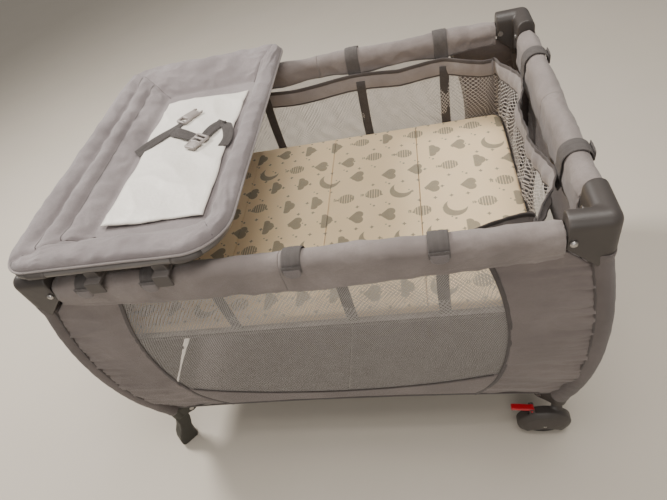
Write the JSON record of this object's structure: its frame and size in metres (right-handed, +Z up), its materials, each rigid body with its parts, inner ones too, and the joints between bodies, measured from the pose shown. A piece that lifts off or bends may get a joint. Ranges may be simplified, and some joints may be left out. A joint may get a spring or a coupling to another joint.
{
  "type": "playpen",
  "caption": "Folding playpen with corner castings, hinged rails, a folding base, two braked wheels, a hang-in bassinet, a four-panel mattress and a clip-on changing table.",
  "frame": {"origin": "middle of the footprint, on the floor", "axes": "+X right along the long side, +Y towards the back, +Z up"},
  "size_m": [1.092, 0.776, 0.788],
  "materials": {
    "moulded_grey_plastic": "moulded",
    "coated_tube": "powder coat",
    "zinc_steel": "zinc plated",
    "dark_plastic": "moulded",
    "wheel_rubber": "moulded",
    "red_plastic": "gloss",
    "rail_fabric": "melange weave",
    "wall_fabric": "weave",
    "bassinet_mesh": "fabric and mesh",
    "printed_fabric": "printed",
    "webbing": "webbing",
    "changer_fabric": "melange weave",
    "wipe_clean_panel": "wipe clean",
    "buckle_plastic": "moulded",
    "hook_plastic": "moulded"
  },
  "bodies": {
    "root": {"casting_front_left": "moulded_grey_plastic", "leg_front_left": "coated_tube", "rivets_front_left": "zinc_steel", "foot_front_left": "dark_plastic", "cot_walls": "wall_fabric", "cot_floor": "wall_fabric"},
    "corner_front_right": {"casting_front_right": "moulded_grey_plastic", "leg_front_right": "coated_tube", "rivets_front_right": "zinc_steel", "wheel_bracket_front": "dark_plastic"},
    "corner_back_left": {"casting_back_left": "moulded_grey_plastic", "leg_back_left": "coated_tube", "rivets_back_left": "zinc_steel", "foot_back_left": "dark_plastic"},
    "corner_back_right": {"casting_back_right": "moulded_grey_plastic", "leg_back_right": "coated_tube", "rivets_back_right": "zinc_steel", "wheel_bracket_back": "dark_plastic"},
    "wheel_front": {"wheel_front": "wheel_rubber"},
    "wheel_back": {"wheel_back": "wheel_rubber"},
    "brake_lever_front": {"brake_lever_front": "red_plastic"},
    "brake_lever_back": {"brake_lever_back": "red_plastic"},
    "rail_front_left": {"rail_front_left": "coated_tube", "cover_front_left": "rail_fabric"},
    "rail_front_right": {"rail_front_right": "coated_tube", "cover_front_right": "rail_fabric"},
    "rail_back_left": {"rail_back_left": "coated_tube", "cover_back_left": "rail_fabric"},
    "rail_back_right": {"rail_back_right": "coated_tube", "cover_back_right": "rail_fabric"},
    "rail_left_front": {"rail_left_front": "coated_tube", "cover_left_front": "rail_fabric"},
    "rail_left_back": {"rail_left_back": "coated_tube", "cover_left_back": "rail_fabric"},
    "rail_right_front": {"rail_right_front": "coated_tube", "cover_right_front": "rail_fabric"},
    "rail_right_back": {"rail_right_back": "coated_tube", "cover_right_back": "rail_fabric"},
    "latch_front": {"latch_front": "dark_plastic"},
    "latch_back": {"latch_back": "dark_plastic"},
    "latch_left": {"latch_left": "dark_plastic"},
    "latch_right": {"latch_right": "dark_plastic"},
    "base_tube_front_left": {"base_tube_front_left": "coated_tube"},
    "base_tube_front_right": {"base_tube_front_right": "coated_tube"},
    "base_tube_back_left": {"base_tube_back_left": "coated_tube"},
    "base_tube_back_right": {"base_tube_back_right": "coated_tube"},
    "hub": {"base_hub": "dark_plastic", "hub_strap": "webbing"},
    "bassinet": {"bassinet_shell": "bassinet_mesh", "bassinet_clips": "webbing", "mattress_panel_2": "printed_fabric"},
    "mattress_panel_1": {"mattress_panel_1": "printed_fabric"},
    "mattress_panel_3": {"mattress_panel_3": "printed_fabric"},
    "mattress_panel_4": {"mattress_panel_4": "printed_fabric"},
    "changer": {"changer_frame": "coated_tube", "changer_hooks": "hook_plastic", "changer_pad": "changer_fabric", "changer_panel": "wipe_clean_panel", "belt_straps": "webbing", "belt_buckles": "buckle_plastic"}
  },
  "joints": [
    {"name": "fold", "type": "hinge", "parent": "root", "child": "base_tube_front_left", "pos_m": [-0.463, -0.318, 0.13], "axis": [0.5384, -0.8427, 0], "range_deg": [0, 80], "deforming": ["cot_walls", "cot_floor", "cover_front_left", "cover_front_right", "cover_back_left", "cover_back_right", "cover_left_front", "cover_left_back", "cover_right_front", "cover_right_back"]},
    {"name": "hub_front_left", "type": "hinge", "parent": "base_tube_front_left", "child": "hub", "pos_m": [-0.02, -0.035, 0.13], "axis": [0.5384, -0.8427, 0], "range_deg": [-80, 0]},
    {"name": "base_front_right_inner", "type": "hinge", "parent": "hub", "child": "base_tube_front_right", "pos_m": [0.02, -0.035, 0.13], "axis": [0.5384, 0.8427, 0], "range_deg": [0, 80]},
    {"name": "base_front_right_outer", "type": "hinge", "parent": "base_tube_front_right", "child": "corner_front_right", "pos_m": [0.463, -0.318, 0.13], "axis": [0.5384, 0.8427, 0], "range_deg": [-80, 0]},
    {"name": "base_back_left_inner", "type": "hinge", "parent": "hub", "child": "base_tube_back_left", "pos_m": [-0.02, 0.035, 0.13], "axis": [-0.5384, -0.8427, 0], "range_deg": [0, 80]},
    {"name": "base_back_left_outer", "type": "hinge", "parent": "base_tube_back_left", "child": "corner_back_left", "pos_m": [-0.463, 0.318, 0.13], "axis": [-0.5384, -0.8427, 0], "range_deg": [-80, 0]},
    {"name": "base_back_right_inner", "type": "hinge", "parent": "hub", "child": "base_tube_back_right", "pos_m": [0.02, 0.035, 0.13], "axis": [-0.5384, 0.8427, 0], "range_deg": [0, 80]},
    {"name": "base_back_right_outer", "type": "hinge", "parent": "base_tube_back_right", "child": "corner_back_right", "pos_m": [0.463, 0.318, 0.13], "axis": [-0.5384, 0.8427, 0], "range_deg": [-80, 0]},
    {"name": "rail_front_left_fold", "type": "hinge", "parent": "root", "child": "rail_front_left", "pos_m": [-0.463, -0.353, 0.703], "axis": [0, 1, 0], "range_deg": [0, 80]},
    {"name": "rail_front_right_fold", "type": "hinge", "parent": "corner_front_right", "child": "rail_front_right", "pos_m": [0.463, -0.353, 0.703], "axis": [0, -1, 0], "range_deg": [0, 80]},
    {"name": "latch_front_fold", "type": "hinge", "parent": "rail_front_left", "child": "latch_front", "pos_m": [-0.02, -0.353, 0.703], "axis": [0, 1, 0], "range_deg": [-80, 0]},
    {"name": "rail_back_left_fold", "type": "hinge", "parent": "corner_back_left", "child": "rail_back_left", "pos_m": [-0.463, 0.353, 0.703], "axis": [0, 1, 0], "range_deg": [0, 80]},
    {"name": "rail_back_right_fold", "type": "hinge", "parent": "corner_back_right", "child": "rail_back_right", "pos_m": [0.463, 0.353, 0.703], "axis": [0, -1, 0], "range_deg": [0, 80]},
    {"name": "latch_back_fold", "type": "hinge", "parent": "rail_back_left", "child": "latch_back", "pos_m": [-0.02, 0.353, 0.703], "axis": [0, 1, 0], "range_deg": [-80, 0]},
    {"name": "rail_left_front_fold", "type": "hinge", "parent": "root", "child": "rail_left_front", "pos_m": [-0.513, -0.303, 0.703], "axis": [-1, 0, 0], "range_deg": [0, 80]},
    {"name": "rail_left_back_fold", "type": "hinge", "parent": "corner_back_left", "child": "rail_left_back", "pos_m": [-0.513, 0.303, 0.703], "axis": [1, 0, 0], "range_deg": [0, 80]},
    {"name": "latch_left_fold", "type": "hinge", "parent": "rail_left_front", "child": "latch_left", "pos_m": [-0.513, -0.02, 0.703], "axis": [-1, 0, 0], "range_deg": [-80, 0]},
    {"name": "rail_right_front_fold", "type": "hinge", "parent": "corner_front_right", "child": "rail_right_front", "pos_m": [0.513, -0.303, 0.703], "axis": [-1, 0, 0], "range_deg": [0, 80]},
    {"name": "rail_right_back_fold", "type": "hinge", "parent": "corner_back_right", "child": "rail_right_back", "pos_m": [0.513, 0.303, 0.703], "axis": [1, 0, 0], "range_deg": [0, 80]},
    {"name": "latch_right_fold", "type": "hinge", "parent": "rail_right_front", "child": "latch_right", "pos_m": [0.513, -0.02, 0.703], "axis": [-1, 0, 0], "range_deg": [-80, 0]},
    {"name": "bassinet_lift", "type": "slide", "parent": "hub", "child": "bassinet", "axis": [0, 0, 1], "range_m": [0, 0.513]},
    {"name": "changer_lift", "type": "slide", "parent": "hub", "child": "changer", "axis": [0, 0, 1], "range_m": [0, 0.652]},
    {"name": "wheel_front_spin", "type": "hinge", "parent": "corner_front_right", "child": "wheel_front", "pos_m": [0.466, -0.353, 0.047], "axis": [0, 1, 0], "continuous": true},
    {"name": "brake_front_press", "type": "hinge", "parent": "corner_front_right", "child": "brake_lever_front", "pos_m": [0.436, -0.353, 0.104], "axis": [0, -1, 0], "range_deg": [0, 14]},
    {"name": "wheel_back_spin", "type": "hinge", "parent": "corner_back_right", "child": "wheel_back", "pos_m": [0.466, 0.353, 0.047], "axis": [0, 1, 0], "continuous": true},
    {"name": "brake_back_press", "type": "hinge", "parent": "corner_back_right", "child": "brake_lever_back", "pos_m": [0.436, 0.353, 0.104], "axis": [0, -1, 0], "range_deg": [0, 14]},
    {"name": "mattress_fold_1", "type": "hinge", "parent": "bassinet", "child": "mattress_panel_1", "pos_m": [-0.2305, 0, 0.494], "axis": [0, 1, 0], "range_deg": [0, 170]},
    {"name": "mattress_fold_3", "type": "hinge", "parent": "bassinet", "child": "mattress_panel_3", "pos_m": [0, 0, 0.494], "axis": [0, -1, 0], "range_deg": [0, 90]},
    {"name": "mattress_fold_4", "type": "hinge", "parent": "mattress_panel_3", "child": "mattress_panel_4", "pos_m": [0.2305, 0, 0.494], "axis": [0, -1, 0], "range_deg": [0, 90]}
  ],
  "couplings": [
    {"joint": "hub_front_left", "follows": "fold", "ratio": -1},
    {"joint": "base_front_right_inner", "follows": "fold", "ratio": 1},
    {"joint": "base_front_right_outer", "follows": "fold", "ratio": -1},
    {"joint": "base_back_left_inner", "follows": "fold", "ratio": 1},
    {"joint": "base_back_left_outer", "follows": "fold", "ratio": -1},
    {"joint": "base_back_right_inner", "follows": "fold", "ratio": 1},
    {"joint": "base_back_right_outer", "follows": "fold", "ratio": -1},
    {"joint": "rail_front_left_fold", "follows": "fold", "ratio": 1},
    {"joint": "rail_front_right_fold", "follows": "fold", "ratio": 1},
    {"joint": "latch_front_fold", "follows": "fold", "ratio": -1},
    {"joint": "rail_back_left_fold", "follows": "fold", "ratio": 1},
    {"joint": "rail_back_right_fold", "follows": "fold", "ratio": 1},
    {"joint": "latch_back_fold", "follows": "fold", "ratio": -1},
    {"joint": "rail_left_front_fold", "follows": "fold", "ratio": 1},
    {"joint": "rail_left_back_fold", "follows": "fold", "ratio": 1},
    {"joint": "latch_left_fold", "follows": "fold", "ratio": -1},
    {"joint": "rail_right_front_fold", "follows": "fold", "ratio": 1},
    {"joint": "rail_right_back_fold", "follows": "fold", "ratio": 1},
    {"joint": "latch_right_fold", "follows": "fold", "ratio": -1},
    {"joint": "bassinet_lift", "follows": "fold", "m_per_rad": 0.36},
    {"joint": "changer_lift", "follows": "fold", "m_per_rad": 0.46}
  ]
}
